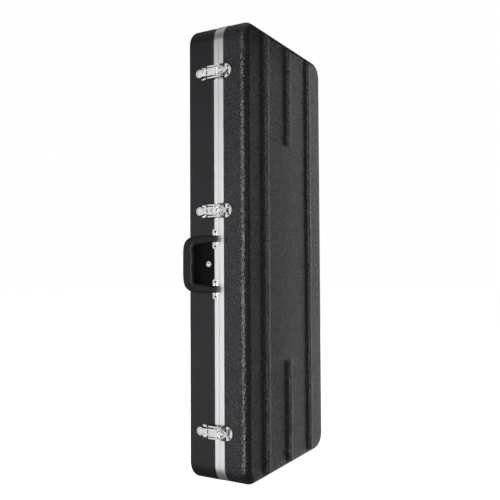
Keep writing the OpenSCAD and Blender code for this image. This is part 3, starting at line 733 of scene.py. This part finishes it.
def side_lining():
    """Plush glued round the inside of the lid's walls, a little loose between its edges."""
    x0, x1, d0, d1 = 22.3, 63.4, 5.45, 6.95
    r = RC
    yc = SIDE - r
    ys = [-yc + 2 * yc * i / 40 for i in range(41)]
    zs = [r + (LONG - 2 * r) * i / 118 for i in range(119)]
    st = stations(ys, zs, SIDE, r, 0.0, LONG, 16)
    n = len(st)
    rows = 14
    verts, faces = [], []
    prof = [(d0, x0 + 0.4)]
    for i in range(rows + 1):
        t = i / rows
        soft = math.sin(math.pi * t) ** 0.35 if 0 < t < 1 else 0.0
        prof.append((d0 + 0.35 + (d1 - d0 - 0.45) * soft, x0 + (x1 - x0) * t))
    prof.append((d0, x1 - 0.4))
    p = len(prof)
    for i, s in enumerate(st):
        for k, (d, x) in enumerate(prof):
            y, z = at(s, r, d)
            if 1 < k < p - 2:
                w = noise.fractal(Vector((x * 0.05, y * 0.03 + 3.0, z * 0.03)), 1.0, 2.0, 3) * 0.35
                y, z = at(s, r, min(d1, max(d0 + 0.2, d + w)))
            verts.append((x, y, z))
    for i in range(n):
        j = (i + 1) % n
        for q in range(p):
            w = (q + 1) % p
            faces.append((i * p + q, i * p + w, j * p + w, j * p + q))
    ob = new_object("side_lining", verts, faces, M["plush"], 180.0)
    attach(ob, "lid")
    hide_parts("lid_lining")


def cloth_hinge():
    """Woven strip glued down along the compartment's edge, with a row of stitches in it."""
    lo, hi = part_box("compartment_strip")
    lo, hi = lo * 1000.0, hi * 1000.0
    nz, ny = 120, 12
    verts, faces = [], []
    for side in (0, 1):
        for i in range(nz + 1):
            z = lo.z + (hi.z - lo.z) * i / nz
            for k in range(ny + 1):
                y = lo.y + (hi.y - lo.y) * k / ny
                e = min(k, ny - k, i, nz - i)
                up = 0.06 if e == 0 else 0.30 + 0.12 * (0.5 + 0.5 * noise.noise(Vector((y * 0.3, z * 0.12, 0.0))))
                if abs(k - ny * 0.7) < 0.6:
                    up -= 0.12
                verts.append((lo.x + (up if side else 0.0), y, z))
    m = ny + 1
    off = (nz + 1) * m
    for i in range(nz):
        for k in range(ny):
            a, b, c, d = i * m + k, i * m + k + 1, (i + 1) * m + k + 1, (i + 1) * m + k
            faces.append((off + a, off + b, off + c, off + d))
            faces.append((d, c, b, a))
    for i in range(nz):
        for k in (0, ny):
            a, d = i * m + k, (i + 1) * m + k
            faces.append((a, off + a, off + d, d) if k == 0 else (d, off + d, off + a, a))
    for k in range(ny):
        for i in (0, nz):
            a, b = i * m + k, i * m + k + 1
            faces.append((b, off + b, off + a, a) if i == 0 else (a, off + a, off + b, b))
    # stitches, short rounded threads
    y0 = lo.y + (hi.y - lo.y) * 0.7
    z = lo.z + 4.0
    while z < hi.z - 6.0:
        base = len(verts)
        for q in range(5):
            t = q / 4
            rr = 0.16 + 0.14 * math.sin(math.pi * t)
            for a in range(6):
                g = 2 * math.pi * a / 6
                verts.append((min(hi.x, lo.x + 0.25 + rr * 0.6 * math.sin(g)), y0 + rr * math.cos(g), z + 2.6 * t))
        for q in range(4):
            for a in range(6):
                b2 = (a + 1) % 6
                faces.append((base + q * 6 + a, base + q * 6 + b2, base + (q + 1) * 6 + b2, base + (q + 1) * 6 + a))
        faces.append(tuple(base + a for a in reversed(range(6))))
        faces.append(tuple(base + 24 + a for a in range(6)))
        z += 3.8
    ob = new_object("cloth_hinge", verts, faces, M["webbing"], 60.0)
    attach(ob, "base")
    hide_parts("compartment_strip")


def bake(ob):
    """Applies the modifiers on ob to its mesh."""
    dg = bpy.context.evaluated_depsgraph_get()
    me = bpy.data.meshes.new_from_object(ob.evaluated_get(dg))
    ob.modifiers.clear()
    old = ob.data
    ob.data = me
    if old.users == 0:
        bpy.data.meshes.remove(old)


def interior():
    plush_block("floor_padding", ["floor_pad_base"], "base", 9.0, 2, 1.5, 2.5, "x-", 1)
    plush_block("tail_padding", ["tail_block"], "base", 7.0, 3, 3.0, 4.5, "x-", 2)
    plush_block("bout_padding_latch_side", ["bout_pad_latch_side"], "base", 7.0, 3, 3.0, 4.5, "x-", 3)
    plush_block("bout_padding_hinge_side", ["bout_pad_hinge_side"], "base", 7.0, 3, 3.0, 4.5, "x-", 4)
    plush_block("neck_padding_latch_side", ["neck_block_latch_side"], "base", 7.5, 3, 3.0, 4.5, "x-", 5)
    plush_block("neck_padding_hinge_side", ["neck_block_hinge_side"], "base", 7.5, 3, 3.0, 4.5, "x-", 6)
    plush_block("headstock_padding", ["headstock_block"], "base", 5.0, 3, 2.5, 4.0, "x-", 7)
    plush_block("cradle_padding", ["neck_cradle"], "base", 4.5, 2, 2.0, 3.0, "x-", 8)
    plush_block("lid_padding", ["lid_pad"], "lid", 9.0, 2, 1.2, 2.2, "x+", 9)
    plush_block("compartment_door", ["compartment_lid"], "compartment_lid", 1.7, 2, 0.0, 0.0, "x-", 10, ripple=0.2, cloth=False)
    plush_block("compartment_walls", ["compartment_tray"], "base", 1.8, 1, 0.0, 0.0, "x-", 11, ripple=0.2, cloth=False)
    side_lining()
    cloth_hinge()
    NODES["compartment_tab"].data.materials.clear()
    NODES["compartment_tab"].data.materials.append(M["webbing"])


# ------------------------------------------------------------------ camera, light, floor

def camera():
    data = bpy.data.cameras.new("camera")
    cam = bpy.data.objects.new("camera", data)
    SCENE.collection.objects.link(cam)
    az, el, roll = (math.radians(v) for v in (29.678, -1.793, -0.294))
    back = Vector((math.sin(az) * math.cos(el), -math.cos(az) * math.cos(el), math.sin(el)))
    right = Vector((math.cos(az), math.sin(az), 0.0))
    up = back.cross(right)
    r2 = right * math.cos(roll) + up * math.sin(roll)
    u2 = up * math.cos(roll) - right * math.sin(roll)
    m = Matrix((r2, u2, back)).transposed().to_4x4()
    m.translation = Vector((0.81257, -1.48134, 0.48472))
    cam.matrix_world = m
    data.sensor_width = 36.0
    data.lens = 47.374
    data.clip_start, data.clip_end = 0.05, 60.0
    SCENE.camera = cam


def area(name, loc, target, size, power, color=(1, 1, 1)):
    d = bpy.data.lights.new(name, "AREA")
    d.shape = "RECTANGLE"
    d.size, d.size_y = size
    d.energy = power
    d.color = color
    o = bpy.data.objects.new(name, d)
    SCENE.collection.objects.link(o)
    o.location = loc
    o.rotation_euler = (Vector(target) - Vector(loc)).to_track_quat("-Z", "Y").to_euler()
    o.visible_camera = False
    return o


def studio():
    me = bpy.data.meshes.new("floor")
    bm = bmesh.new()
    bmesh.ops.create_circle(bm, cap_ends=True, segments=96, radius=14.0)
    bm.to_mesh(me)
    bm.free()
    me.materials.append(M["floor"])
    floor = bpy.data.objects.new("floor", me)
    SCENE.collection.objects.link(floor)
    floor.visible_glossy = False
    floor.visible_diffuse = False
    floor.visible_shadow = False
    w = bpy.data.worlds.new("studio")
    SCENE.world = w
    w.use_nodes = True
    nt = w.node_tree
    bg = next(n for n in nt.nodes if n.type == "BACKGROUND")
    out = next(n for n in nt.nodes if n.type == "OUTPUT_WORLD")
    bg.inputs["Color"].default_value = (0.97, 0.975, 1.0, 1)
    bg.inputs["Strength"].default_value = 0.07
    seen = nt.nodes.new("ShaderNodeBackground")
    seen.inputs["Color"].default_value = (1, 1, 1, 1)
    seen.inputs["Strength"].default_value = 0.995
    path = nt.nodes.new("ShaderNodeLightPath")
    mix = nt.nodes.new("ShaderNodeMixShader")
    nt.links.new(path.outputs["Is Camera Ray"], mix.inputs[0])
    nt.links.new(bg.outputs[0], mix.inputs[1])
    nt.links.new(seen.outputs[0], mix.inputs[2])
    nt.links.new(mix.outputs[0], out.inputs["Surface"])

    def panel(name, az, dist, z, size, radiance, el_to=0.5, color=(1, 1, 1)):
        a = math.radians(az)
        area(name, (dist * math.sin(a), -dist * math.cos(a), z), (0, 0, el_to), size, 4.0 * size[0] * size[1] * radiance, color)

    panel("key_strip", 20, 3.4, 0.30, (0.40, 3.8), 25.5, 0.3)
    panel("front_left", -33, 3.3, -0.05, (1.7, 4.4), 0.75, 0.0, (1.0, 0.985, 1.07))
    panel("rake_left", -60, 3.4, 0.15, (0.7, 3.2), 2.0, 0.3)
    panel("back_right", 165, 0.93, 0.35, (0.22, 2.1), 1.2, 0.35)
    panel("back_left", 232, 3.4, 0.8, (2.0, 3.4), 0.8)
    panel("right", 88, 3.6, 0.7, (1.7, 2.6), 0.50)
    panel("back", 190, 3.8, 0.6, (1.7, 3.0), 0.50)
    panel("overhead", 0, 0.01, 3.6, (3.0, 3.0), 0.4)
    SCENE.view_settings.view_transform = "Standard"
    SCENE.view_settings.look = "None"
    SCENE.view_settings.exposure = 0.0
    SCENE.view_settings.gamma = 1.0


shells()
valances()
handle()
hardware()
interior()
camera()
studio()
